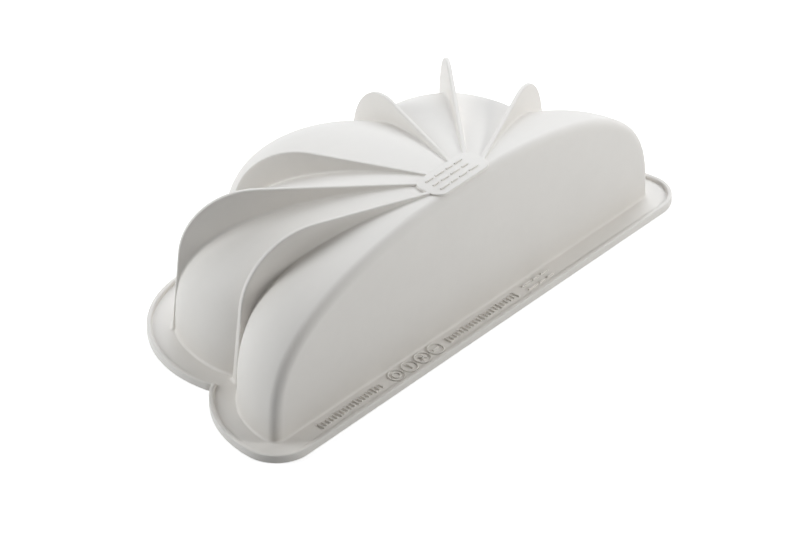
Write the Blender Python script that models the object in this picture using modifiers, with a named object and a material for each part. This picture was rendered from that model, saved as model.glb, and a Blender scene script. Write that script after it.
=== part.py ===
"""Cloud-shaped silicone baking mould, lying dome up on its rim.

In plan the mould is half a cloud: round lobes set on a half circle, closed by a flat front wall
that stands a little in front of the half circle's middle. A thin shell rises from that outline to
a crown just behind the front wall. Upright fins radiate from the middle of that wall, under a flat
pad at the crown, one down each valley and one over the back of each side lobe, and a flat flange
with a raised bead runs round the mouth. The real mould is shot in one piece of silicone, and each
of its features is one solid here.

X runs along the front wall, Y from the front wall towards the lobes and Z up. The origin is under
the middle of the whole mould, at the level that it rests on.
"""
import math

import bmesh
import bpy
from mathutils import Vector

# Cloud outline, at the foot of the shell's outer side
LOBE_COUNT = 5
LOBE_RING = 0.0730
LOBE_RADIUS = 0.0385

# Domed shell
CROWN_RISE = 0.0616
WALL = 0.0020
FRONT_SETOUT = 0.0023
FRONT_EDGE_RADIUS = 0.0030
FRONT_WALL_RETURN = 0.0045
CROWN_ROUNDNESS = 2.11
SHOULDER_FULLNESS = 3.12

# Rim
FLANGE_THICKNESS = 0.0020
FLANGE_WIDTH = 0.0113
BEAD_WIDTH = 0.0020
BEAD_HEIGHT = 0.0034
BEAD_ROUNDING = 0.0005

# Fins, whose crests stand level with the pad
CREST_RISE = 0.0004
FIN_THICKNESS = 0.0018
FIN_SIDE_DRAFT = math.radians(1.0)
FIN_CREST_ROUNDING = 0.0006
VALLEY_FIN_REACH = 0.0070
VALLEY_FIN_CORNER = 0.0320
VALLEY_FIN_LEAN = math.radians(6.5)
BACK_FIN_REACH = 0.0040
BACK_FIN_CORNER = 0.0280
BACK_FIN_LEAN = math.radians(7.0)

# Crown pad
PAD_LENGTH = 0.0325
PAD_DEPTH = 0.0142
PAD_CORNER = 0.0050
PAD_SETBACK = 0.0014
PAD_ROUNDING = 0.0003

# Clearance between neighbouring features
GAP = 0.0003

# Fineness of the curved surfaces
COLUMNS_PER_LOBE = 12
PROFILE_STEPS = 16
PROFILE_SAMPLES = 600
EDGE_STEPS = 4
PAD_CORNER_STEPS = 4
ROUNDING_STEPS = 2
ARC_STEP = math.radians(6.0)
CREST_STEP = math.radians(9.0)
SMOOTH_ANGLE = math.radians(32.0)
CORNER_ANGLE = math.radians(60.0)
WELD_DISTANCE = 0.00001

# Sizes that follow from those above
LOBE_SPACING = math.pi / (LOBE_COUNT - 1)
FOOT_REACH = LOBE_RING + LOBE_RADIUS
RIM_REACH = FOOT_REACH + FLANGE_WIDTH
EDGE_LINE = FRONT_EDGE_RADIUS - FRONT_SETOUT
SEAM_LINE = FRONT_WALL_RETURN - FRONT_SETOUT
CREST_HEIGHT = CROWN_RISE + CREST_RISE
PAD_MIDDLE = PAD_SETBACK - FRONT_SETOUT + PAD_DEPTH / 2.0
FIN_START = PAD_LENGTH / 4.0
SKIRT = 2.0 * FLANGE_THICKNESS
WEDGE_LENGTH = 2.0 * RIM_REACH

SILICONE_COLOUR = (0.66, 0.65, 0.62, 1.0)
SILICONE_ROUGHNESS = 0.5


def plan_point(radius, bearing):
    """Point in plan; bearing 0 is straight back from the front wall, positive turns to +X."""
    return Vector((radius * math.sin(bearing), radius * math.cos(bearing)))


def lobe_bearing(index):
    return index * LOBE_SPACING - math.pi / 2.0


def valley_bearing(index):
    """Bearing of the valley between lobe number index and the next one."""
    return lobe_bearing(index) + LOBE_SPACING / 2.0


def outline_radius(bearing, grow=0.0):
    """Distance from the middle of the lobes' half circle to the cloud outline, grown by a margin."""
    radius = LOBE_RADIUS + grow
    best = 0.0
    for index in range(LOBE_COUNT):
        turn = bearing - lobe_bearing(index)
        across = LOBE_RING * math.sin(turn)
        if math.cos(turn) > 0.0 and abs(across) < radius:
            best = max(best, LOBE_RING * math.cos(turn) + math.sqrt(radius ** 2 - across ** 2))
    return best


def outline_end(grow):
    """How far to each side the end lobes reach where they meet the front wall's rounded edge."""
    return LOBE_RING + math.sqrt((LOBE_RADIUS + grow) ** 2 - EDGE_LINE ** 2)


def dome_height(point, grow=0.0):
    """Height of the dome over the flange at a point in plan."""
    share = min(1.0, point.length / outline_radius(math.atan2(point.x, point.y), grow))
    rest = max(0.0, 1.0 - share ** CROWN_ROUNDNESS)
    return (CROWN_RISE + grow) * rest ** (1.0 / SHOULDER_FULLNESS)


def profile_shares():
    """Shares of the way from crown to foot, evenly spaced along the dome's profile."""
    shares = [math.sin(math.pi / 2.0 * index / PROFILE_SAMPLES)
              for index in range(PROFILE_SAMPLES + 1)]
    points = [Vector((share * FOOT_REACH, dome_height(Vector((0.0, share * FOOT_REACH)))))
              for share in shares]
    lengths = [0.0]
    for before, after in zip(points, points[1:]):
        lengths.append(lengths[-1] + (after - before).length)
    chosen = []
    index = 0
    for step in range(1, PROFILE_STEPS):
        while lengths[index] < lengths[-1] * step / PROFILE_STEPS:
            index += 1
        chosen.append(shares[index])
    return chosen + [1.0]


def foot_points(grow):
    """Foot of each column of the dome, from the left end of the front wall round to the right."""
    count = COLUMNS_PER_LOBE * (LOBE_COUNT - 1)
    end = outline_end(grow)
    points = [Vector((-end, EDGE_LINE))]
    for index in range(1, count):
        bearing = math.pi * index / count - math.pi / 2.0
        points.append(plan_point(outline_radius(bearing, grow), bearing))
    points.append(Vector((end, EDGE_LINE)))
    return points


def arch_normals(path):
    """Directions in the front wall's plane that point inwards, square to the arch.

    The path stands upright at both of its ends, from the foot of the skirt to the foot of the dome.
    """
    normals = []
    for index, point in enumerate(path):
        if index < 2:
            normals.append(Vector((1.0, 0.0, 0.0)))
        elif index > len(path) - 3:
            normals.append(Vector((-1.0, 0.0, 0.0)))
        else:
            along = (path[index + 1] - path[index - 1]).normalized()
            normals.append(Vector((along.z, 0.0, -along.x)))
    return normals


def dome_mesh(name, grow=0.0, closed=False):
    """Outer skin of the shell: the lofted lobes, the rounded front edge and the flat front wall."""
    mesh_data = bmesh.new()
    pole_plan = Vector((0.0, EDGE_LINE))
    pole = mesh_data.verts.new((0.0, EDGE_LINE, dome_height(pole_plan, grow)))
    shares = profile_shares()
    columns = []
    for foot in foot_points(grow):
        column = []
        for share in shares:
            place = pole_plan.lerp(foot, share)
            height = dome_height(place, grow) if share < 1.0 else 0.0
            column.append(mesh_data.verts.new((place.x, place.y, height)))
        column.append(mesh_data.verts.new((foot.x, foot.y, -SKIRT)))
        columns.append(column)
    for left, right in zip(columns, columns[1:]):
        mesh_data.faces.new((pole, left[0], right[0]))
        for upper in range(len(shares)):
            mesh_data.faces.new((left[upper], left[upper + 1], right[upper + 1], right[upper]))

    arch = list(reversed(columns[0])) + [pole] + columns[-1]
    path = [vertex.co.copy() for vertex in arch]
    normals = arch_normals(path)
    radius = FRONT_EDGE_RADIUS + grow
    rows = [arch]
    for step in range(1, EDGE_STEPS + 1):
        turn = math.pi / 2.0 * step / EDGE_STEPS
        row = []
        for point, inwards in zip(path, normals):
            offset = inwards * radius * (1.0 - math.cos(turn))
            offset.y = -radius * math.sin(turn)
            row.append(mesh_data.verts.new(point + offset))
        rows.append(row)
    for behind, ahead in zip(rows, rows[1:]):
        for index in range(len(path) - 1):
            mesh_data.faces.new((behind[index], behind[index + 1], ahead[index + 1], ahead[index]))
    mesh_data.faces.new(rows[-1])

    if closed:
        left_side = [row[0] for row in reversed(rows)]
        right_side = [row[-1] for row in rows]
        back = [column[-1] for column in columns[1:-1]]
        mesh_data.faces.new(left_side + back + right_side)
    bmesh.ops.recalc_face_normals(mesh_data, faces=mesh_data.faces[:])
    return finish_mesh(mesh_data, name)


def prism_mesh(name, outline, bottom, top):
    """Upright block over an outline in plan."""
    mesh_data = bmesh.new()
    base = mesh_data.faces.new([mesh_data.verts.new((x, y, bottom)) for x, y in outline])
    raised = bmesh.ops.extrude_face_region(mesh_data, geom=[base])
    lifted = [item for item in raised["geom"] if isinstance(item, bmesh.types.BMVert)]
    bmesh.ops.translate(mesh_data, verts=lifted, vec=(0.0, 0.0, top - bottom))
    bmesh.ops.recalc_face_normals(mesh_data, faces=mesh_data.faces[:])
    return finish_mesh(mesh_data, name)


def finish_mesh(mesh_data, name):
    mesh = bpy.data.meshes.new(name)
    mesh_data.to_mesh(mesh)
    mesh_data.free()
    mesh.shade_smooth()
    mesh.set_sharp_from_angle(angle=SMOOTH_ANGLE)
    return mesh


def arc_points(centre, start, end, radius, clockwise=True):
    """Points along an arc between two points of a circle, both ends included."""
    first = math.atan2(start.y - centre.y, start.x - centre.x)
    span = math.atan2(end.y - centre.y, end.x - centre.x) - first
    if clockwise:
        span = -((-span) % (2.0 * math.pi))
    steps = max(2, math.ceil(abs(span) / ARC_STEP))
    points = []
    for step in range(steps + 1):
        angle = first + span * step / steps
        points.append(centre + radius * Vector((math.cos(angle), math.sin(angle))))
    return points


def cloud_outline(grow):
    """Cloud outline grown outwards by a margin, or drawn in by one, as a closed loop in plan."""
    radius = LOBE_RADIUS + grow
    corner_radius = FRONT_EDGE_RADIUS + grow
    left_end = Vector((-outline_end(grow), EDGE_LINE))
    right_end = Vector((outline_end(grow), EDGE_LINE))
    inwards = Vector((corner_radius, 0.0))
    forwards = Vector((0.0, -corner_radius))
    left_corner = left_end + inwards
    right_corner = right_end - inwards
    points = arc_points(left_corner, left_corner + forwards, left_end, corner_radius)[:-1]
    start = left_end
    for index in range(LOBE_COUNT):
        centre = plan_point(LOBE_RING, lobe_bearing(index))
        after = valley_bearing(index)
        leave = right_end
        if index < LOBE_COUNT - 1:
            leave = plan_point(outline_radius(after, grow), after)
        points += arc_points(centre, start, leave, radius)[:-1]
        start = leave
    points += arc_points(right_corner, right_end, right_corner + forwards, corner_radius)
    return points


def pad_outline(grow=0.0):
    """Rounded rectangle of the crown pad."""
    corner = PAD_CORNER + grow
    half_length = PAD_LENGTH / 2.0 + grow
    half_depth = PAD_DEPTH / 2.0 + grow
    points = []
    for side_x, side_y, first in ((1, 1, 0.0), (-1, 1, 0.5), (-1, -1, 1.0), (1, -1, 1.5)):
        for step in range(PAD_CORNER_STEPS + 1):
            angle = math.pi * (first + 0.5 * step / PAD_CORNER_STEPS)
            x = side_x * (half_length - corner) + corner * math.cos(angle)
            y = PAD_MIDDLE + side_y * (half_depth - corner) + corner * math.sin(angle)
            points.append(Vector((x, y)))
    return points


def crossing(first_point, first_way, second_point, second_way):
    """Where two lines in plan cross."""
    between = second_point - first_point
    share = between.cross(second_way) / first_way.cross(second_way)
    return first_point + first_way * share


def lobe_region(index):
    """Wedge in plan that holds one lobe, half a gap inside its neighbours."""
    half_gap = GAP / 2.0
    front = Vector((0.0, SEAM_LINE + half_gap))
    across = Vector((1.0, 0.0))
    outline = []
    if index == 0:
        outline.append(front - across * WEDGE_LENGTH)
    else:
        bearing = valley_bearing(index - 1)
        way = plan_point(1.0, bearing)
        start = crossing(plan_point(half_gap, bearing + math.pi / 2.0), way, front, across)
        outline += [start, start + way * WEDGE_LENGTH]
    if index == LOBE_COUNT - 1:
        outline.append(front + across * WEDGE_LENGTH)
    else:
        bearing = valley_bearing(index)
        way = plan_point(1.0, bearing)
        start = crossing(plan_point(half_gap, bearing - math.pi / 2.0), way, front, across)
        outline += [start + way * WEDGE_LENGTH, start]
    return outline


def front_region():
    """Strip in plan that holds the front wall and its rounded edge."""
    back = SEAM_LINE - GAP / 2.0
    return [Vector((-RIM_REACH, back)), Vector((-RIM_REACH, -FLANGE_WIDTH)),
            Vector((RIM_REACH, -FLANGE_WIDTH)), Vector((RIM_REACH, back))]


def crest_path(foot, corner, lean):
    """Crest of a fin, from the crown out and down to its foot: level, rounded, then leaning in.

    It starts under the crown pad, and the blade is cut back from the pad afterwards.
    """
    lift = CREST_HEIGHT - corner
    centre = foot - (corner + lift * math.sin(lean)) / math.cos(lean)
    steps = max(4, round((math.pi / 2.0 - lean) / CREST_STEP))
    points = [Vector((FIN_START, CREST_HEIGHT))]
    for step in range(steps + 1):
        angle = math.pi / 2.0 - (math.pi / 2.0 - lean) * step / steps
        points.append(Vector((centre + corner * math.cos(angle), lift + corner * math.sin(angle))))
    points.append(Vector((foot - GAP * math.tan(lean), GAP)))
    return points


def fin_mesh(name, foot, corner, lean):
    """Upright blade along +X, thicker towards its base, with a rounded crest."""
    crest = crest_path(foot, corner, lean)
    mesh_data = bmesh.new()
    outline = crest + [Vector((crest[0].x, GAP))]
    blade = mesh_data.faces.new([mesh_data.verts.new((point.x, 0.0, point.y)) for point in outline])
    copied = bmesh.ops.extrude_face_region(mesh_data, geom=[blade])
    far_side = {item for item in copied["geom"] if isinstance(item, bmesh.types.BMVert)}
    for vertex in mesh_data.verts:
        half = FIN_THICKNESS / 2.0 + (CREST_HEIGHT - vertex.co.z) * math.tan(FIN_SIDE_DRAFT)
        vertex.co.y = half if vertex in far_side else -half
    bmesh.ops.recalc_face_normals(mesh_data, faces=mesh_data.faces[:])
    crest_edges = []
    for edge in mesh_data.edges:
        one, other = edge.verts
        same_side = one.co.y * other.co.y > 0.0
        if same_side and min(one.co.x, other.co.x) >= crest[0].x and edge_on_crest(edge, crest):
            crest_edges.append(edge)
    bmesh.ops.bevel(mesh_data, geom=crest_edges, offset=FIN_CREST_ROUNDING,
                    segments=ROUNDING_STEPS, profile=0.5, affect="EDGES", clamp_overlap=True,
                    material=-1)
    return finish_mesh(mesh_data, name)


def edge_on_crest(edge, crest):
    """Whether an edge runs from one point of the crest path to the next."""
    places = []
    for vertex in edge.verts:
        nearest = min(range(len(crest)),
                      key=lambda index: abs(crest[index].x - vertex.co.x)
                      + abs(crest[index].y - vertex.co.z))
        near = abs(crest[nearest].x - vertex.co.x) + abs(crest[nearest].y - vertex.co.z)
        places.append(nearest if near < GAP / 10.0 else None)
    return None not in places and abs(places[0] - places[1]) == 1


def silicone():
    material = bpy.data.materials.new("silicone")
    material.use_nodes = True
    shader = material.node_tree.nodes["Principled BSDF"]
    shader.inputs["Base Color"].default_value = SILICONE_COLOUR
    shader.inputs["Roughness"].default_value = SILICONE_ROUGHNESS
    shader.inputs["Metallic"].default_value = 0.0
    return material


def add_object(name, data, collection, seat):
    piece = bpy.data.objects.new(name, data)
    piece.parent = seat
    collection.objects.link(piece)
    return piece


def add_cutter(name, data, collection, seat):
    cutter = add_object(name, data, collection, seat)
    cutter.hide_render = True
    cutter.display_type = "WIRE"
    return cutter


def add_boolean(piece, operation, cutter):
    modifier = piece.modifiers.new(f"{operation.lower()} {cutter.name}", "BOOLEAN")
    modifier.operation = operation
    modifier.solver = "EXACT"
    modifier.object = cutter


def add_rounding(piece, width, segments):
    """Rounds a piece's square edges."""
    rounding = piece.modifiers.new("rounding", "BEVEL")
    rounding.width = width
    rounding.segments = segments
    rounding.limit_method = "ANGLE"
    rounding.angle_limit = CORNER_ANGLE


def add_shell_piece(name, skin, region, pad_clearance, collection, seat):
    """Part of the shell inside a region, with room for the crown pad."""
    piece = add_object(name, skin, collection, seat)
    wall = piece.modifiers.new("wall", "SOLIDIFY")
    wall.thickness = WALL
    wall.offset = -1.0
    wall.use_even_offset = True
    wall.use_quality_normals = True
    add_boolean(piece, "INTERSECT", region)
    add_boolean(piece, "DIFFERENCE", pad_clearance)
    return piece


def add_flat_ring(name, outer, inner, bottom, top, collection, seat):
    """Flat plate between two outlines, from a filled and extruded curve."""
    curve = bpy.data.curves.new(name, "CURVE")
    curve.dimensions = "2D"
    curve.fill_mode = "BOTH"
    curve.extrude = (top - bottom) / 2.0
    for outline in (outer, inner):
        spline = curve.splines.new("POLY")
        spline.points.add(len(outline) - 1)
        for point, place in zip(spline.points, outline):
            point.co = (place.x, place.y, 0.0, 1.0)
        spline.use_cyclic_u = True
    ring = add_object(name, curve, collection, seat)
    ring.location.z = (top + bottom) / 2.0
    return ring


def build():
    for leftover in list(bpy.data.objects):
        bpy.data.objects.remove(leftover, do_unlink=True)
    parts = bpy.data.collections.new("cloud_mould")
    cutters = bpy.data.collections.new("cutters")
    bpy.context.scene.collection.children.link(parts)
    bpy.context.scene.collection.children.link(cutters)
    seat = bpy.data.objects.new("flange_top_at_lobe_ring", None)
    seat.location = (0.0, (FLANGE_WIDTH + FRONT_SETOUT - RIM_REACH) / 2.0, FLANGE_THICKNESS)
    parts.objects.link(seat)

    region_top = CREST_HEIGHT + FLANGE_WIDTH
    pad_clearance = add_cutter(
        "pad_clearance",
        prism_mesh("pad_clearance", pad_outline(GAP), -SKIRT, region_top), cutters, seat)
    dome_clearance = add_cutter(
        "dome_clearance", dome_mesh("dome_clearance", GAP, closed=True), cutters, seat)

    skin = dome_mesh("shell_skin")
    front = add_cutter(
        "front_region", prism_mesh("front_region", front_region(), GAP, region_top), cutters, seat)
    add_shell_piece("front_wall", skin, front, pad_clearance, parts, seat)
    lobe_names = ("lobe_left_end", "lobe_left", "lobe_back", "lobe_right", "lobe_right_end")
    for index, name in enumerate(lobe_names):
        region = add_cutter(
            f"{name}_region",
            prism_mesh(f"{name}_region", lobe_region(index), GAP, region_top), cutters, seat)
        add_shell_piece(name, skin, region, pad_clearance, parts, seat)

    pad = add_object(
        "crown_pad", prism_mesh("crown_pad", pad_outline(), CROWN_RISE - WALL, CREST_HEIGHT),
        parts, seat)
    add_rounding(pad, PAD_ROUNDING, 1)

    valley_foot = outline_radius(valley_bearing(0)) + VALLEY_FIN_REACH
    back_foot = FOOT_REACH + BACK_FIN_REACH
    valley_fin = fin_mesh("valley_fin", valley_foot, VALLEY_FIN_CORNER, VALLEY_FIN_LEAN)
    back_fin = fin_mesh("back_fin", back_foot, BACK_FIN_CORNER, BACK_FIN_LEAN)
    fins = (("fin_left_outer", valley_fin, valley_bearing(0)),
            ("fin_left_middle", back_fin, lobe_bearing(1)),
            ("fin_left_inner", valley_fin, valley_bearing(1)),
            ("fin_right_inner", valley_fin, valley_bearing(2)),
            ("fin_right_middle", back_fin, lobe_bearing(3)),
            ("fin_right_outer", valley_fin, valley_bearing(3)))
    for name, mesh, bearing in fins:
        fin = add_object(name, mesh, parts, seat)
        fin.location.y = -FRONT_SETOUT
        fin.rotation_euler.z = math.pi / 2.0 - bearing
        add_boolean(fin, "DIFFERENCE", dome_clearance)
        add_boolean(fin, "DIFFERENCE", pad_clearance)

    bead_inside = FLANGE_WIDTH - BEAD_WIDTH
    add_flat_ring("rim_flange", cloud_outline(bead_inside - GAP), cloud_outline(-WALL),
                  -FLANGE_THICKNESS, 0.0, parts, seat)
    bead = add_flat_ring("rim_bead", cloud_outline(FLANGE_WIDTH), cloud_outline(bead_inside),
                         -FLANGE_THICKNESS, BEAD_HEIGHT - FLANGE_THICKNESS, parts, seat)
    weld = bead.modifiers.new("weld", "WELD")
    weld.merge_threshold = WELD_DISTANCE
    add_rounding(bead, BEAD_ROUNDING, ROUNDING_STEPS)

    material = silicone()
    for piece in parts.objects:
        if piece.data is not None and not piece.data.materials:
            piece.data.materials.append(material)


build()
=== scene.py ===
"""Looks of the cloud-shaped silicone baking mould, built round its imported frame.

Lengths are in metres. The mould is shaped about the middle of its lobes' half circle, level with
the flange's top, and finish_piece moves each mesh from there to its seat in the frame.
"""

import math

import bmesh
import bpy
from mathutils import Matrix, Vector


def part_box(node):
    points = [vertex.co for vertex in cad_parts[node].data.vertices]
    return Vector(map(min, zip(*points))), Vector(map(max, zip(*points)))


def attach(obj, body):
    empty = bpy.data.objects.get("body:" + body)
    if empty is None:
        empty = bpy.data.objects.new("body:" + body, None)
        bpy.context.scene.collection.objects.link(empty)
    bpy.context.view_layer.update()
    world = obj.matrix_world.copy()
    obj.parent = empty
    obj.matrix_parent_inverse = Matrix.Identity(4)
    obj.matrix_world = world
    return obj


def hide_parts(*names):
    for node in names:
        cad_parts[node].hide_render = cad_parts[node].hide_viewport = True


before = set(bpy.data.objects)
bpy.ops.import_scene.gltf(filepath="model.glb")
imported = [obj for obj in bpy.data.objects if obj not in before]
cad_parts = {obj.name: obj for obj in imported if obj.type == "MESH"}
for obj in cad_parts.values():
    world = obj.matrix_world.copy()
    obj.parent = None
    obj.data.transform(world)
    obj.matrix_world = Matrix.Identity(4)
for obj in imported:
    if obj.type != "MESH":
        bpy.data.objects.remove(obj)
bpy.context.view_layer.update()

QUARTER = math.pi / 2.0

# The frame's own measures
_, FLANGE_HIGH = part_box("rim_flange")
BEAD_LOW, BEAD_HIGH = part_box("rim_bead")
PAD_LOW, PAD_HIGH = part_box("crown_pad")
FLANGE_THICKNESS = FLANGE_HIGH.z
RIM_REACH = BEAD_HIGH.x
CREST_HEIGHT = PAD_HIGH.z - FLANGE_THICKNESS
BEAD_RISE = BEAD_HIGH.z - FLANGE_THICKNESS
PAD_LENGTH = PAD_HIGH.x - PAD_LOW.x
PAD_DEPTH = PAD_HIGH.y - PAD_LOW.y

# Cloud outline at the foot of the shell: round lobes on a half circle, from left to right
LOBE_NAMES = ("lobe_left_end", "lobe_left", "lobe_back", "lobe_right", "lobe_right_end")
LOBE_COUNT = len(LOBE_NAMES)
LOBE_RING = 0.0730
LOBE_RADIUS = 0.0385
LOBE_SPACING = math.pi / (LOBE_COUNT - 1)
FOOT_REACH = LOBE_RING + LOBE_RADIUS
FLANGE_WIDTH = RIM_REACH - FOOT_REACH
FRONT_SETOUT = 0.0023

# Where the middle of the lobes' half circle lies in the frame, level with the flange's top
SEAT = Vector((0.0, BEAD_LOW.y + FLANGE_WIDTH + FRONT_SETOUT, FLANGE_THICKNESS))
PAD_MIDDLE = (PAD_HIGH + PAD_LOW) / 2.0 - SEAT

# The soft mould leaves its plain arcs: both ends are drawn out, and each side lobe is drawn in
# between its middle and the valley beside the end lobe
END_STRETCH = 0.016
END_STRETCH_POWER = 4
SIDE_DRAW_IN = 0.0100
SIDE_DRAW_IN_END = 1.5 * LOBE_SPACING
SIDE_DRAW_IN_WAVES = 8.0
STRETCH_FADE = 0.0050
STRETCH_KEPT = 0.40

# Domed shell; roundness and fullness are the powers in its formula
CROWN_BELOW_PAD = 0.0004
CROWN_RISE = CREST_HEIGHT - CROWN_BELOW_PAD
WALL = 0.0020
CROWN_ROUNDNESS = 2.11
SHOULDER_FULLNESS = 3.12
EDGE_RADIUS = 0.0040
EDGE_LINE = EDGE_RADIUS - FRONT_SETOUT
SEAM_SETBACK = 0.0045
SEAM_LINE = SEAM_SETBACK - FRONT_SETOUT

# Flange and bead; the fillet at the shell's foot stands a hair proud of it, and its lip goes in
FOOT_FILLET = 0.0010
FILLET_PROUD = 0.00003
FILLET_LIP = 0.00025
BEAD_WIDTH = 0.0020
BEAD_INSIDE = FLANGE_WIDTH - BEAD_WIDTH
BEAD_ROUNDING = 0.0004
BEAD_INNER_ROUNDING = 0.0008
BEAD_FILLET = 0.00008
BOTTOM_ROUNDING = 0.0004
MOUTH_ROUNDING = 0.0008
NOTCH_ROUNDING = 0.0012

# Fins: how far the foot stands beyond the shell's, radius of the crest's corner, and how far the
# outer edge leans in
FIN_THICKNESS = 0.0018
FIN_DRAFT = math.radians(0.8)
FIN_CREST_ROUNDING = 0.0006
FIN_FILLET = 0.0009
FIN_ROUNDING_LIMIT = 0.4
FIN_FOOT_FILLET = 0.0015
FIN_START = 0.0110
FIN_SUNK = 0.0003
FIN_BELOW_PAD = 0.00005
FIN_REACH_IN = 0.0600
FIN_CENTRE = Vector((0.0, -FRONT_SETOUT, 0.0))
VALLEY_FIN = {"reach": 0.0053, "corner": 0.0325, "lean": math.radians(5.0)}
BACK_FIN = {"reach": 0.0032, "corner": 0.0305, "lean": math.radians(4.8)}
# Each fin's place in half lobes from the middle, and how far it stands nearer the back than that
FINS = (
    ("fin_left_outer", -3, math.radians(0.9)),
    ("fin_left_middle", -2, math.radians(1.1)),
    ("fin_left_inner", -1, math.radians(0.9)),
    ("fin_right_inner", 1, math.radians(0.0)),
    ("fin_right_middle", 2, math.radians(0.1)),
    ("fin_right_outer", 3, math.radians(0.4)),
)

# Crown pad
PAD_CORNER = 0.0050
PAD_ROUNDING = 0.00025
PAD_SUNK = 0.0012

# Raised marks; those on the flange have their places along X and Y from the lobes' middle
MARK_HEIGHT = 0.00080
PAD_MARK_HEIGHT = 0.00055
MARK_SUNK = 0.00015
MARK_LINE = 0.00070
MARK_ROUNDING = 0.00010
FLANGE_MIDDLE = -0.0073
RING_LINE = 0.00062
RING_SUNK = MARK_SUNK / 4.0
RING_RADIUS = 0.0033
RING_PITCH = 0.00775
RING_FIRST = -0.0493
# Turns of the bars in each ring; a ring without bars has a smaller ring in it
RING_BARS = ((), (QUARTER,), (QUARTER / 2.0, -QUARTER / 2.0), (0.0,))
TICK_PITCH = 0.00205
TICK_LENGTH = 0.0026
LONG_TICK_LENGTH = 0.0036
TICKS_PER_LONG_ONE = 5
# Where each row of ticks starts, and how many it has
TICK_ROWS = ((-0.0934, 18), (-0.0184, 21))
DASH_ROWS = (-0.0057, -0.0090)
DASH_FIRST = 0.0285
DASH_LENGTHS = (0.0052, 0.0036, 0.0044)
DASH_SPACE = 0.0013
PAD_ROWS = 3
PAD_ROW_PITCH = 0.0037
PAD_ROW_INSET = 0.0045

# Fineness of the surfaces
LOBE_COLUMNS = 44
DOME_ROWS = 56
EDGE_ROWS = 8
FRONT_ROWS = 14
FILLET_STEPS = 6
CORNER_COLUMNS = 14
NOTCH_COLUMNS = 6
FRONT_COLUMNS = 40
ROUNDING_STEPS = 4
PROFILE_SAMPLES = 900
DEPTH_HALVINGS = 30
FIN_LEVEL_STEPS = 24
FIN_CORNER_STEPS = 20
FIN_LEAN_STEPS = 14
FIN_SIDE_STEPS = 8
PAD_CORNER_STEPS = 10
PAD_ROUNDING_STEPS = 3
RING_STEPS = 40
RING_SIDES = 8
SMOOTH_ANGLE = math.radians(40.0)
WELD_DISTANCE = 0.000002

# Silicone: sizes of its clouds, mottle and grain, and the depths of its waves and grain
SILICONE_NAME = "warm_silicone"
SILICONE_DEEP = (0.784, 0.755, 0.716, 1.0)
SILICONE_PALE = (0.834, 0.805, 0.765, 1.0)
SILICONE_CLOUD = 0.022
SILICONE_MOTTLE = 0.0045
SILICONE_GRAIN = 0.00035
SILICONE_WAVE_DEPTH = 0.00012
SILICONE_GRAIN_DEPTH = 0.000025
SILICONE_IOR = 1.41
CLOUD_SHARE = 0.6
LEAST_ROUGHNESS = 0.46
ROUGHNESS_CHANGE = 0.10
NOISE_DETAIL = 2.0

# Floor and surroundings
WHITE = (1.0, 1.0, 1.0, 1.0)
FLOOR_REACH = 3.0
FLOOR_DROP = 0.0001
FLOOR_COLOUR = (0.8, 0.8, 0.8, 1.0)
FLOOR_GLOW = (0.62, 0.62, 0.62, 1.0)
FLOOR_SHADE_REACH = 0.25
FLOOR_WHITE_REACH = 0.75
WORLD_FILL = 0.05

# Softboxes: turn from +X and rise in degrees, distance, width, height, level and tint
COOL = (0.905, 0.945, 1.0)
NEUTRAL = (0.955, 0.982, 1.0)
WARM = (0.988, 1.0, 1.0)
SOFTBOXES = (
    ("softbox_back", 30.0, 41.0, 1.2, 0.95, 0.85, 0.71, COOL),
    ("softbox_left", 132.0, 25.0, 0.8, 0.38, 0.48, 0.53, NEUTRAL),
    ("softbox_left_high", 130.0, 58.0, 0.8, 0.60, 0.50, 0.08, NEUTRAL),
    ("softbox_front", 296.0, 30.0, 0.8, 0.24, 0.24, 0.40, WARM),
    ("softbox_front_high", 285.0, 55.0, 0.9, 0.50, 0.45, 0.06, WARM),
)

# View of the photograph, 800 pixels wide; its aim is counted from the seat
VIEW_TURN = math.radians(-49.860)
VIEW_DROP = math.radians(33.714)
VIEW_DISTANCE = 2.275
VIEW_AIM = Vector((0.00927, 0.0403, -0.00021))
VIEW_CLIP = 50.0
PHOTO_WIDTH = 800.0
FOCAL_PIXELS = 5802.0
SENSOR_WIDTH = 36.0


def plan_way(bearing):
    """Direction in plan; bearing 0 is straight back from the front wall, positive turns to +X."""
    return Vector((math.sin(bearing), math.cos(bearing), 0.0))


def quarter_turns(steps):
    """Angles of a quarter circle in equal steps, both ends counted."""
    return [QUARTER * step / steps for step in range(steps + 1)]


def lobe_bearing(index):
    """Bearing of a lobe's middle; lobe 0 is the left end one."""
    return index * LOBE_SPACING - QUARTER


def stretch(bearing, grow):
    """Factor on the outline's plain arcs; it comes nearer to 1 across the flange."""
    fade = min(1.0, max(0.0, grow / STRETCH_FADE))
    kept = 1.0 - fade * (1.0 - STRETCH_KEPT)
    share = END_STRETCH * math.sin(bearing) ** END_STRETCH_POWER * kept
    if LOBE_SPACING < abs(bearing) < SIDE_DRAW_IN_END:
        share -= SIDE_DRAW_IN * math.sin(SIDE_DRAW_IN_WAVES * bearing) ** 2 * (1.0 - fade)
    return 1.0 + share


def outline_reach(bearing, grow=0.0):
    """Distance from the middle of the lobes' half circle to the outline, grown by a margin."""
    radius = LOBE_RADIUS + grow
    best = 0.0
    for index in range(LOBE_COUNT):
        turn = bearing - lobe_bearing(index)
        across = LOBE_RING * math.sin(turn)
        if math.cos(turn) > 0.0 and abs(across) < radius:
            best = max(best, LOBE_RING * math.cos(turn) + math.sqrt(radius ** 2 - across ** 2))
    return best * stretch(bearing, grow)


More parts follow.
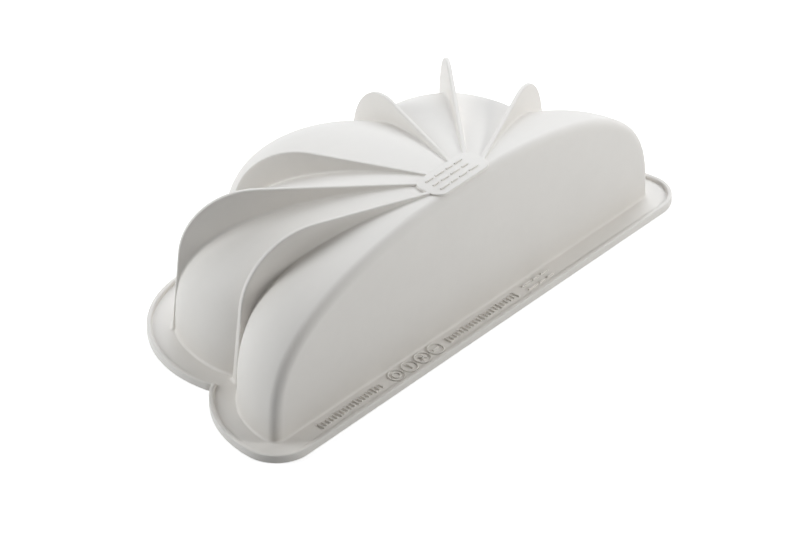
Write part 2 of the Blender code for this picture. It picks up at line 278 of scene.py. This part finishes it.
def dome_excess(point, grow=0.0):
    """Below zero inside the dome, zero on it and above zero outside it."""
    bearing = math.atan2(point.x, point.y)
    share = math.hypot(point.x, point.y) / outline_reach(bearing, grow)
    level = max(0.0, point.z) / (CROWN_RISE + grow)
    return share ** CROWN_ROUNDNESS + level ** SHOULDER_FULLNESS - 1.0


def dome_height(x, y, grow=0.0):
    """Height of the dome over the flange at a place in plan."""
    share = min(1.0, math.hypot(x, y) / outline_reach(math.atan2(x, y), grow))
    rest = max(0.0, 1.0 - share ** CROWN_ROUNDNESS)
    return (CROWN_RISE + grow) * rest ** (1.0 / SHOULDER_FULLNESS)


def depth_to_dome(start, way, reach, grow=0.0):
    """How far a point goes along a direction before it meets the dome."""
    near, far = 0.0, reach
    for _ in range(DEPTH_HALVINGS):
        middle = (near + far) / 2.0
        if dome_excess(start + way * middle, grow) > 0.0:
            near = middle
        else:
            far = middle
    return (near + far) / 2.0


def profile_shares(rows):
    """Shares of the way from crown to foot, evenly spaced along the dome's profile."""
    fine = [math.sin(QUARTER * step / PROFILE_SAMPLES) for step in range(PROFILE_SAMPLES + 1)]
    lengths = [0.0]
    for before, after in zip(fine, fine[1:]):
        rise = dome_height(0.0, after * FOOT_REACH) - dome_height(0.0, before * FOOT_REACH)
        lengths.append(lengths[-1] + math.hypot((after - before) * FOOT_REACH, rise))
    shares = []
    place = 0
    for row in range(rows):
        while lengths[place] < lengths[-1] * row / rows:
            place += 1
        shares.append(fine[place])
    return shares + [1.0]


DOME_SHARES = profile_shares(DOME_ROWS)


def lobe_turns(index, grow):
    """Angles on a lobe's circle, from its own bearing, at which its outline starts and ends."""
    half = LOBE_SPACING / 2.0
    turn = half + math.asin(LOBE_RING * math.sin(half) / (LOBE_RADIUS + grow))
    seam_turn = math.asin(SEAM_LINE / (LOBE_RADIUS + grow))
    start = seam_turn if index == 0 else -turn
    end = -seam_turn if index == LOBE_COUNT - 1 else turn
    return start, end


def lobe_arc(index, turn, grow):
    """Point on a lobe's outline, at an angle from the lobe's own bearing."""
    bearing = lobe_bearing(index)
    point = plan_way(bearing) * LOBE_RING + plan_way(bearing + turn) * (LOBE_RADIUS + grow)
    return point * stretch(math.atan2(point.x, point.y), grow)


def lobe_foot(index, share, grow):
    """Point on a lobe's outline; share runs from its left end to its right end."""
    start, end = lobe_turns(index, grow)
    return lobe_arc(index, start + (end - start) * share, grow)


def lobe_start(index, foot):
    """Where a column of the lobe starts, on the line where the lobes meet the front wall."""
    if index in (0, LOBE_COUNT - 1):
        side = -1.0 if index == 0 else 1.0
        way = plan_way(side * (QUARTER - LOBE_SPACING / 2.0))
        return way * (SEAM_LINE / way.y)
    return foot * (SEAM_LINE / foot.y)


def lobe_point(index, share, row, grow):
    """Point on a lobe's dome; its rows run from where its columns start down to the foot."""
    foot = lobe_foot(index, share, grow)
    place = lobe_start(index, foot).lerp(foot, DOME_SHARES[row])
    height = dome_height(place.x, place.y, grow) if row < DOME_ROWS else 0.0
    return Vector((place.x, place.y, height))


def new_object(name, data):
    """Object added to the scene, at the origin."""
    made = bpy.data.objects.new(name, data)
    bpy.context.scene.collection.objects.link(made)
    return made


def finish_piece(mesh_data, name, replaces=()):
    """Closes and seats a mesh, and makes it a piece of the mould."""
    bmesh.ops.remove_doubles(mesh_data, verts=mesh_data.verts[:], dist=WELD_DISTANCE)
    bmesh.ops.recalc_face_normals(mesh_data, faces=mesh_data.faces[:])
    bmesh.ops.translate(mesh_data, verts=mesh_data.verts[:], vec=SEAT)
    mesh = bpy.data.meshes.new(name)
    mesh_data.to_mesh(mesh)
    mesh_data.free()
    mesh.shade_smooth()
    mesh.set_sharp_from_angle(angle=SMOOTH_ANGLE)
    mesh.materials.append(bpy.data.materials[SILICONE_NAME])
    piece = new_object(name, mesh)
    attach(piece, "root")
    if replaces:
        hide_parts(*replaces)


def grid_place(vertex, columns, rows):
    """Column and row of a vertex in a flat grid of size 1."""
    return round((vertex.co.x + 0.5) * columns), round((vertex.co.y + 0.5) * rows)


def bent_tube(columns, rows, place):
    """Flat grid with each vertex moved to its place; place brings its open sides together."""
    mesh_data = bmesh.new()
    bmesh.ops.create_grid(mesh_data, x_segments=columns, y_segments=rows, size=0.5)
    for vertex in mesh_data.verts:
        vertex.co = place(*grid_place(vertex, columns, rows))
    return mesh_data


def bent_slab(columns, rows, outer, inner):
    """Flat sheet of a grid, given two sides by an extrusion, with each side bent to its shape."""
    mesh_data = bmesh.new()
    bmesh.ops.create_grid(mesh_data, x_segments=columns, y_segments=rows, size=0.5)
    first = set(mesh_data.verts)
    bmesh.ops.extrude_face_region(mesh_data, geom=mesh_data.faces[:], use_keep_orig=True)
    for vertex in mesh_data.verts:
        side = outer if vertex in first else inner
        vertex.co = side(*grid_place(vertex, columns, rows))
    return mesh_data


def make_lobe(index, name):
    """Domed sheet of one lobe, with its inner side a wall inside its outer one."""
    def side(grow):
        return lambda column, row: lobe_point(index, column / LOBE_COLUMNS, row, grow)

    mesh_data = bent_slab(LOBE_COLUMNS, DOME_ROWS, side(0.0), side(-WALL))
    finish_piece(mesh_data, f"{name}_skin", [name])


def seam_points(grow):
    """Points along the seam between the lobes and the front wall, from left to right."""
    points = [lobe_point(0, 0.0, row, grow) for row in range(DOME_ROWS, 0, -1)]
    for index in range(1, LOBE_COUNT - 1):
        points += [lobe_point(index, column / LOBE_COLUMNS, 0, grow)
                   for column in range(LOBE_COLUMNS)]
    points += [lobe_point(LOBE_COUNT - 1, 1.0, row, grow) for row in range(DOME_ROWS + 1)]
    return points


def front_rows(grow):
    """Rows of the front wall: from the seam over the rounded edge, then down the flat face."""
    seam = seam_points(grow)
    last = len(seam) - 1
    inwards = []
    for column in range(last + 1):
        along = seam[min(last, column + 1)] - seam[max(0, column - 1)]
        inwards.append(Vector((along.z, 0.0, -along.x)).normalized())
    rows = [seam]
    for depth in ((SEAM_LINE + EDGE_LINE) / 2.0, EDGE_LINE):
        row = []
        for point, way in zip(seam, inwards):
            start = Vector((point.x, depth, point.z)) - way * WALL
            slid = start + way * depth_to_dome(start, way, 2.0 * WALL, grow)
            row.append(Vector((slid.x, depth, slid.z if point.z > 0.0 else 0.0)))
        rows.append(row)
    edge = rows[-1]
    radius = EDGE_RADIUS + grow
    for turn in quarter_turns(EDGE_ROWS)[1:]:
        back = Vector((0.0, -radius * math.sin(turn), 0.0))
        drawn_in = radius * (1.0 - math.cos(turn))
        rows.append([point + back + way * drawn_in for point, way in zip(edge, inwards)])
    arch = rows[-1]
    foot_left = Vector((arch[0].x, arch[0].y, 0.0))
    foot_right = Vector((arch[-1].x, arch[-1].y, 0.0))
    for step in range(1, FRONT_ROWS + 1):
        rows.append([point.lerp(foot_left.lerp(foot_right, column / last), step / FRONT_ROWS)
                     for column, point in enumerate(arch)])
    return rows


def make_front_wall():
    """Sheet from the seam over the rounded edge and down to the flange, a wall thick."""
    outer, inner = front_rows(0.0), front_rows(-WALL)
    columns, rows = len(outer[0]) - 1, len(outer) - 1
    mesh_data = bent_slab(columns, rows, lambda column, row: outer[row][column],
                          lambda column, row: inner[row][column])
    finish_piece(mesh_data, "front_wall_skin", ["front_wall"])


def rim_loop(grow):
    """Closed outline in plan, grown from the foot of the shell.

    On the outer half of the flange the valleys between the lobes are rounded.
    """
    notch = NOTCH_ROUNDING if grow > FLANGE_WIDTH / 2.0 else 0.0
    half = LOBE_SPACING / 2.0
    end_reach = LOBE_RING + math.sqrt((LOBE_RADIUS + grow) ** 2 - EDGE_LINE ** 2)
    corner_x = end_reach * stretch(QUARTER, grow) - EDGE_RADIUS - grow
    end_turn = math.asin(EDGE_LINE / (LOBE_RADIUS + grow))
    across = LOBE_RING * math.sin(half)
    notch_reach = LOBE_RING * math.cos(half) + math.sqrt(
        (LOBE_RADIUS + grow + notch) ** 2 - across ** 2)
    contact = math.atan2(notch_reach * math.sin(half), notch_reach * math.cos(half) - LOBE_RING)
    swing = half - contact
    points = []
    for index in range(LOBE_COUNT):
        start = end_turn if index == 0 else -contact
        end = -end_turn if index == LOBE_COUNT - 1 else contact
        points += [lobe_arc(index, start + (end - start) * column / LOBE_COLUMNS, grow)
                   for column in range(LOBE_COLUMNS)]
        if index < LOBE_COUNT - 1:
            valley = lobe_bearing(index) + half
            centre = plan_way(valley) * notch_reach
            for column in range(NOTCH_COLUMNS):
                share = column / NOTCH_COLUMNS
                turn = valley + math.pi - swing * (1.0 - 2.0 * share)
                points.append(centre + plan_way(turn) * notch)
    for side, first_quarter in ((1.0, 1.0), (-1.0, 2.0)):
        corner = Vector((side * corner_x, EDGE_LINE, 0.0))
        for column in range(CORNER_COLUMNS):
            turn = QUARTER * (first_quarter + column / CORNER_COLUMNS)
            points.append(corner + plan_way(turn) * (EDGE_RADIUS + grow))
        if side > 0.0:
            front = -FRONT_SETOUT - grow
            points += [Vector((corner_x * (1.0 - 2.0 * column / FRONT_COLUMNS), front, 0.0))
                       for column in range(FRONT_COLUMNS)]
    return points


def rounded_corner(grow, height, across, up, level_first, steps=ROUNDING_STEPS):
    """Points of a rim's section that round a corner off with a quarter circle.

    Across and up are the steps from the corner, along its level and its upright side, to the ends
    of the quarter circle. With level_first the end on the level side comes first.
    """
    points = []
    for turn in quarter_turns(steps):
        rising, falling = 1.0 - math.cos(turn), 1.0 - math.sin(turn)
        if level_first:
            points.append((grow + across * falling, height + up * rising))
        else:
            points.append((grow + across * rising, height + up * falling))
    return points


def swept_rim(section, name):
    """Ring with a closed section; each of its points is an outline's growth and a height."""
    loops = [[Vector((point.x, point.y, height)) for point in rim_loop(grow)]
             for grow, height in section]
    columns, rows = len(loops[0]), len(loops)
    mesh_data = bent_tube(columns, rows, lambda column, row: loops[row % rows][column % columns])
    finish_piece(mesh_data, f"{name}_skin", [name])


def make_flange():
    """Flat flange with the rounded mouth of the cavity and the fillet round the shell's foot."""
    bottom = -FLANGE_THICKNESS
    section = [(-WALL, 0.0)]
    section += rounded_corner(-WALL, bottom, MOUTH_ROUNDING, MOUTH_ROUNDING, False)
    section += [(BEAD_INSIDE, bottom), (BEAD_INSIDE, 0.0)]
    section += rounded_corner(FILLET_PROUD, 0.0, FOOT_FILLET, FOOT_FILLET, True, FILLET_STEPS)
    section += [(-FILLET_LIP, FOOT_FILLET), (-FILLET_LIP, 0.0)]
    swept_rim(section, "rim_flange")


def make_bead():
    """Raised bead along the flange's outer edge; its section starts at the bead's inner foot."""
    bottom = -FLANGE_THICKNESS
    section = rounded_corner(BEAD_INSIDE, 0.0, -BEAD_FILLET, BEAD_FILLET, True)
    section += rounded_corner(BEAD_INSIDE, BEAD_RISE, BEAD_INNER_ROUNDING, -BEAD_INNER_ROUNDING,
                              False)
    section += rounded_corner(FLANGE_WIDTH, BEAD_RISE, -BEAD_ROUNDING, -BEAD_ROUNDING, True)
    section += rounded_corner(FLANGE_WIDTH, bottom, -BOTTOM_ROUNDING, BOTTOM_ROUNDING, False)
    section += [(BEAD_INSIDE, bottom), (BEAD_INSIDE, -BEAD_FILLET),
                (BEAD_INSIDE - BEAD_FILLET, -BEAD_FILLET)]
    swept_rim(section, "rim_bead")


def fin_spine(foot, corner, lean):
    """Stations along a fin's crest: a point, the way in towards the dome, and any flare."""
    top = CREST_HEIGHT - FIN_BELOW_PAD
    lift = top - corner
    centre = foot - (corner + lift * math.sin(lean)) / math.cos(lean)
    stations = []
    for step in range(FIN_LEVEL_STEPS):
        reach = FIN_START + (centre - FIN_START) * step / FIN_LEVEL_STEPS
        stations.append((Vector((reach, 0.0, top)), Vector((0.0, 0.0, -1.0)), 0.0))
    for step in range(FIN_CORNER_STEPS):
        turn = QUARTER - (QUARTER - lean) * step / FIN_CORNER_STEPS
        out = Vector((math.cos(turn), 0.0, math.sin(turn)))
        stations.append((Vector((centre, 0.0, lift)) + out * corner, -out, 0.0))
    start = Vector((centre + corner * math.cos(lean), 0.0, lift + corner * math.sin(lean)))
    stop = Vector((foot - FIN_FOOT_FILLET * math.tan(lean), 0.0, FIN_FOOT_FILLET))
    for step in range(FIN_LEAN_STEPS):
        share = step / FIN_LEAN_STEPS
        slant = lean * (1.0 - share)
        way = Vector((-math.cos(slant), 0.0, -math.sin(slant)))
        stations.append((start.lerp(stop, share), way, 0.0))
    level_way = Vector((-1.0, 0.0, 0.0))
    for turn in quarter_turns(FILLET_STEPS):
        flare = FIN_FOOT_FILLET * (1.0 - math.cos(turn))
        place = Vector((stop.x + flare, 0.0, FIN_FOOT_FILLET * (1.0 - math.sin(turn))))
        stations.append((place, level_way, flare))
    sunk_foot = Vector((stop.x + FIN_FOOT_FILLET, 0.0, -FIN_SUNK))
    stations.append((sunk_foot, level_way, FIN_FOOT_FILLET))
    return stations


def fin_half(height):
    """Half of a fin's thickness at a height; its sides draw apart downwards."""
    return FIN_THICKNESS / 2.0 + (CREST_HEIGHT - height) * math.tan(FIN_DRAFT)


def fin_side(place, way, flare, depth, side):
    """One side of a fin's section at a station, from its crest down to its base in the shell."""
    base_half = fin_half(place.z + way.z * depth(0.0)) + flare
    side_depth = depth(side * base_half)
    rounding = min(FIN_CREST_ROUNDING, FIN_ROUNDING_LIMIT * side_depth)
    fillet = min(FIN_FILLET, FIN_ROUNDING_LIMIT * side_depth)
    crest_half = fin_half(place.z) + flare
    section = []
    for turn in quarter_turns(ROUNDING_STEPS):
        section.append((crest_half - rounding * (1.0 - math.sin(turn)),
                        rounding * (1.0 - math.cos(turn))))
    for step in range(1, FIN_SIDE_STEPS + 1):
        deep = rounding + (side_depth - fillet - rounding) * step / FIN_SIDE_STEPS
        section.append((crest_half + (base_half - crest_half) * deep / side_depth, deep))
    for turn in quarter_turns(ROUNDING_STEPS)[1:]:
        across = base_half + fillet * (1.0 - math.cos(turn))
        section.append((across, depth(side * across) - fillet * (1.0 - math.sin(turn))))
    across, deep = section[-1]
    section.append((across, deep + FIN_SUNK))
    return [(side * across, deep) for across, deep in section]


def fin_section(place, way, flare, turned):
    """Closed section of a fin at a station: down one side, through the shell and up the other."""
    def depth(across):
        start = FIN_CENTRE + turned @ (place + Vector((0.0, across, 0.0)))
        return depth_to_dome(start, turned @ way, FIN_REACH_IN)

    near_side = fin_side(place, way, flare, depth, 1.0)
    far_side = fin_side(place, way, flare, depth, -1.0)
    section = [(0.0, 0.0)] + near_side + [(0.0, depth(0.0) + FIN_SUNK)] + far_side[::-1]
    return [FIN_CENTRE + turned @ (place + way * deep + Vector((0.0, across, 0.0)))
            for across, deep in section]


def make_fin(name, bearing, foot, form):
    """Fin lofted through its sections, from the crown pad out and down to its foot."""
    turned = Matrix.Rotation(QUARTER - bearing, 3, "Z")
    spine = fin_spine(foot + form["reach"], form["corner"], form["lean"])
    sections = [fin_section(place, way, flare, turned) for place, way, flare in spine]
    columns, rows = len(sections) - 1, len(sections[0])
    mesh_data = bent_tube(columns, rows, lambda column, row: sections[column][row % rows])
    bmesh.ops.remove_doubles(mesh_data, verts=mesh_data.verts[:], dist=WELD_DISTANCE)
    bmesh.ops.holes_fill(mesh_data, edges=mesh_data.edges[:], sides=0)
    finish_piece(mesh_data, f"{name}_skin", [name])


def make_fins():
    """Fins in the valleys between lobes, and on the backs of the left and right lobes."""
    for name, place, nearer_back in FINS:
        bearing = place * LOBE_SPACING / 2.0
        turned_bearing = bearing - math.copysign(nearer_back, place)
        if place % 2 == 0:
            make_fin(name, turned_bearing, FOOT_REACH, BACK_FIN)
        else:
            make_fin(name, turned_bearing, outline_reach(bearing), VALLEY_FIN)


def make_pad():
    """Rounded pad at the crown, sunk into the shell."""
    mesh_data = bmesh.new()
    bmesh.ops.create_cube(mesh_data, size=1.0)
    bmesh.ops.scale(mesh_data, verts=mesh_data.verts[:], vec=(PAD_LENGTH, PAD_DEPTH, PAD_SUNK))
    upright = [edge for edge in mesh_data.edges
               if abs(edge.verts[0].co.z - edge.verts[1].co.z) > PAD_SUNK / 2.0]
    bmesh.ops.bevel(mesh_data, geom=upright, offset=PAD_CORNER, segments=PAD_CORNER_STEPS,
                    profile=0.5, affect="EDGES", material=-1)
    rim = [edge for edge in mesh_data.edges if min(vertex.co.z for vertex in edge.verts) > 0.0]
    bmesh.ops.bevel(mesh_data, geom=rim, offset=PAD_ROUNDING, segments=PAD_ROUNDING_STEPS,
                    profile=0.5, affect="EDGES", material=-1)
    bmesh.ops.translate(mesh_data, verts=mesh_data.verts[:],
                        vec=(0.0, PAD_MIDDLE.y, CREST_HEIGHT - PAD_SUNK / 2.0))
    finish_piece(mesh_data, "crown_pad_skin", ["crown_pad"])


def add_bar(mesh_data, place, length, turn, mark_height=MARK_HEIGHT):
    """Plain raised bar, sunk a little into the face that it stands on."""
    made = bmesh.ops.create_cube(mesh_data, size=1.0)
    height = mark_height + MARK_SUNK
    bmesh.ops.scale(mesh_data, verts=made["verts"], vec=(length, MARK_LINE, height))
    bmesh.ops.rotate(mesh_data, verts=made["verts"], matrix=Matrix.Rotation(turn, 3, "Z"))
    bmesh.ops.translate(mesh_data, verts=made["verts"],
                        vec=place + Vector((0.0, 0.0, height / 2.0 - MARK_SUNK)))
    edges = {edge for vertex in made["verts"] for edge in vertex.link_edges}
    bmesh.ops.bevel(mesh_data, geom=list(edges), offset=MARK_ROUNDING, segments=1, profile=0.5,
                    affect="EDGES", material=-1)


def add_ring(mesh_data, place, radius):
    """Plain raised ring with a round back, sunk a little into the flange."""
    half = RING_LINE / 2.0
    made = bmesh.ops.create_circle(mesh_data, cap_ends=False, segments=RING_SIDES, radius=half)
    ring = made["verts"]
    bmesh.ops.rotate(mesh_data, verts=ring, matrix=Matrix.Rotation(QUARTER, 3, "X"))
    bmesh.ops.translate(mesh_data, verts=ring,
                        vec=place + Vector((radius, 0.0, half - RING_SUNK)))
    edges = {edge for vertex in ring for edge in vertex.link_edges}
    bmesh.ops.spin(mesh_data, geom=ring + list(edges), cent=place, axis=(0.0, 0.0, 1.0),
                   angle=math.tau, steps=RING_STEPS, use_merge=True)


def make_flange_marks():
    """Raised marks along the front of the flange: plain rings, ticks and dashes."""
    mesh_data = bmesh.new()
    for index, turns in enumerate(RING_BARS):
        place = Vector((RING_FIRST + RING_PITCH * index, FLANGE_MIDDLE, 0.0))
        add_ring(mesh_data, place, RING_RADIUS)
        if not turns:
            add_ring(mesh_data, place, RING_RADIUS / 2.0)
        for turn in turns:
            add_bar(mesh_data, place, RING_RADIUS, turn)
    for first, count in TICK_ROWS:
        for index in range(count):
            place = Vector((first + TICK_PITCH * index, FLANGE_MIDDLE, 0.0))
            long_one = index % TICKS_PER_LONG_ONE == 0
            add_bar(mesh_data, place, LONG_TICK_LENGTH if long_one else TICK_LENGTH, QUARTER)
    for row in DASH_ROWS:
        left = DASH_FIRST
        for length in DASH_LENGTHS:
            add_bar(mesh_data, Vector((left + length / 2.0, row, 0.0)), length, 0.0)
            left += length + DASH_SPACE
    finish_piece(mesh_data, "flange_marks")


def dash_length(index):
    """Length of a dash in a row that goes through the lengths again and again."""
    return DASH_LENGTHS[index % len(DASH_LENGTHS)]


def make_pad_marks():
    """Rows of plain raised dashes on the crown pad, each starting with another length."""
    half = PAD_LENGTH / 2.0 - PAD_ROW_INSET
    mesh_data = bmesh.new()
    for row in range(PAD_ROWS):
        y = PAD_MIDDLE.y + (row - (PAD_ROWS - 1) / 2.0) * PAD_ROW_PITCH
        left = -half
        index = row
        while left + dash_length(index) < half:
            length = dash_length(index)
            place = Vector((left + length / 2.0, y, CREST_HEIGHT))
            add_bar(mesh_data, place, length, 0.0, PAD_MARK_HEIGHT)
            left += length + DASH_SPACE
            index += 1
    finish_piece(mesh_data, "pad_marks")


class Value:
    """Socket of a shader that arithmetic and further nodes can be written with."""

    def __init__(self, tree, socket=None):
        self.tree = tree
        self.socket = socket

    def node(self, kind, settings, sockets, output=0):
        """Adds a node, sets it up, fills its sockets and gives one of its outputs."""
        made = self.tree.nodes.new(kind)
        for name, setting in settings.items():
            setattr(made, name, setting)
        for name, filling in sockets.items():
            if isinstance(filling, Value):
                self.tree.links.new(filling.socket, made.inputs[name])
            else:
                made.inputs[name].default_value = filling
        return Value(self.tree, made.outputs[output] if made.outputs else None)

    def maths(self, operation, first, second):
        """Adds a Math node for two values or numbers."""
        return self.node("ShaderNodeMath", {"operation": operation}, {0: first, 1: second})

    def __add__(self, other):
        return self.maths("ADD", self, other)

    def __radd__(self, other):
        return self.maths("ADD", other, self)

    def __mul__(self, other):
        return self.maths("MULTIPLY", self, other)

    def __rmul__(self, other):
        return self.maths("MULTIPLY", other, self)


def new_material(name):
    """Empty material, and the start of its shader."""
    material = bpy.data.materials.new(name)
    material.use_nodes = True
    material.node_tree.nodes.clear()
    return material, Value(material.node_tree)


def noise(place, lump):
    """Soft noise from 0 to 1 with lumps of about one size."""
    return place.node("ShaderNodeTexNoise", {"noise_dimensions": "3D"},
                      {"Vector": place, "Scale": 1.0 / lump, "Detail": NOISE_DETAIL}, "Fac")


def blended(factor, first, second):
    """Colour between two colours."""
    return factor.node("ShaderNodeMix", {"data_type": "RGBA"},
                       {"Factor": factor, "A": first, "B": second}, "Result")


def make_silicone():
    """Matt warm off-white silicone: faint clouds in its colour and gloss, and a fine dull grain."""
    _, start = new_material(SILICONE_NAME)
    place = start.node("ShaderNodeTexCoord", {}, {}, "Object")
    clouds = noise(place, SILICONE_CLOUD)
    mottle = noise(place, SILICONE_MOTTLE)
    grain = noise(place, SILICONE_GRAIN)
    paleness = CLOUD_SHARE * clouds + (1.0 - CLOUD_SHARE) * mottle
    colour = blended(paleness, SILICONE_DEEP, SILICONE_PALE)
    roughness = LEAST_ROUGHNESS + ROUGHNESS_CHANGE * clouds + ROUGHNESS_CHANGE * mottle
    relief = SILICONE_WAVE_DEPTH * clouds + SILICONE_GRAIN_DEPTH * grain
    bump = start.node("ShaderNodeBump", {}, {"Height": relief, "Distance": 1.0}, "Normal")
    shader = start.node("ShaderNodeBsdfPrincipled", {}, {
        "Base Color": colour, "Roughness": roughness, "Normal": bump, "IOR": SILICONE_IOR})
    start.node("ShaderNodeOutputMaterial", {}, {"Surface": shader})


def seen_rays(start):
    """1 for rays that show the background: the camera's, and reflected or refracted ones."""
    path = "ShaderNodeLightPath"
    camera = start.node(path, {}, {}, "Is Camera Ray")
    glossy = start.node(path, {}, {}, "Is Glossy Ray")
    transmitted = start.node(path, {}, {}, "Is Transmission Ray")
    either = start.maths("MAXIMUM", camera, glossy)
    return start.maths("MAXIMUM", either, transmitted)


def make_floor():
    """Pale floor that is seen as white, but for the mould's shadow."""
    mesh_data = bmesh.new()
    bmesh.ops.create_grid(mesh_data, x_segments=1, y_segments=1, size=FLOOR_REACH)
    bmesh.ops.translate(mesh_data, verts=mesh_data.verts[:], vec=(0.0, 0.0, -FLOOR_DROP))
    mesh = bpy.data.meshes.new("floor")
    mesh_data.to_mesh(mesh)
    mesh_data.free()
    material, start = new_material("floor")
    place = start.node("ShaderNodeTexCoord", {}, {}, "Object")
    away = place.node("ShaderNodeVectorMath", {"operation": "LENGTH"}, {0: place}, "Value")
    whiter = away.node("ShaderNodeMapRange", {}, {
        "Value": away, "From Min": FLOOR_SHADE_REACH, "From Max": FLOOR_WHITE_REACH})
    lit = start.node("ShaderNodeBsdfDiffuse", {}, {"Color": FLOOR_COLOUR})
    glowing = start.node("ShaderNodeEmission", {}, {"Color": blended(whiter, FLOOR_GLOW, WHITE)})
    white = start.node("ShaderNodeAddShader", {}, {0: lit, 1: glowing})
    surface = start.node("ShaderNodeMixShader", {}, {0: seen_rays(start), 1: lit, 2: white})
    start.node("ShaderNodeOutputMaterial", {}, {"Surface": surface})
    mesh.materials.append(material)
    floor = new_object("floor", mesh)


def make_world():
    """White surroundings that give the mould only a little light."""
    world = bpy.data.worlds.new("studio")
    bpy.context.scene.world = world
    world.use_nodes = True
    world.node_tree.nodes.clear()
    start = Value(world.node_tree)
    fill = start.node("ShaderNodeBackground", {}, {"Strength": WORLD_FILL})
    white = start.node("ShaderNodeBackground", {}, {"Color": WHITE})
    surface = start.node("ShaderNodeMixShader", {}, {0: seen_rays(start), 1: fill, 2: white})
    start.node("ShaderNodeOutputWorld", {}, {"Surface": surface})
    bpy.context.scene.view_settings.view_transform = "Standard"


def make_softbox(name, turn, rise, distance, width, height, level, tint):
    """Rectangular lamp aimed at the mould; level is how bright a white face turned to it shows."""
    way = Vector((math.cos(turn) * math.cos(rise), math.sin(turn) * math.cos(rise), math.sin(rise)))
    lamp_data = bpy.data.lights.new(name, "AREA")
    lamp_data.shape = "RECTANGLE"
    lamp_data.size = width
    lamp_data.size_y = height
    lamp_data.energy = level * (math.pi * distance) ** 2
    lamp_data.color = tint
    lamp = new_object(name, lamp_data)
    lamp.location = way * distance
    lamp.rotation_euler = way.to_track_quat("Z", "Y").to_euler()


def make_lights():
    """Softboxes behind, left and in front of the mould."""
    for name, turn, rise, *rest in SOFTBOXES:
        make_softbox(name, math.radians(turn), math.radians(rise), *rest)


def make_camera():
    """Long lens at the photograph's angle, framed so that the mould sits where it does there."""
    across = math.cos(VIEW_DROP)
    way = Vector((-math.sin(VIEW_TURN) * across,
                  math.cos(VIEW_TURN) * across,
                  -math.sin(VIEW_DROP)))
    camera_data = bpy.data.cameras.new("camera")
    camera_data.sensor_width = SENSOR_WIDTH
    camera_data.lens = FOCAL_PIXELS / PHOTO_WIDTH * SENSOR_WIDTH
    camera_data.clip_end = VIEW_CLIP
    camera = new_object("camera", camera_data)
    camera.location = SEAT + VIEW_AIM - way * VIEW_DISTANCE
    camera.rotation_euler = (QUARTER - VIEW_DROP, 0.0, VIEW_TURN)
    bpy.context.scene.camera = camera


make_camera()
make_silicone()
for lobe_index, lobe_name in enumerate(LOBE_NAMES):
    make_lobe(lobe_index, lobe_name)
make_front_wall()
make_flange()
make_bead()
make_fins()
make_pad()
make_flange_marks()
make_pad_marks()
make_floor()
make_world()
make_lights()
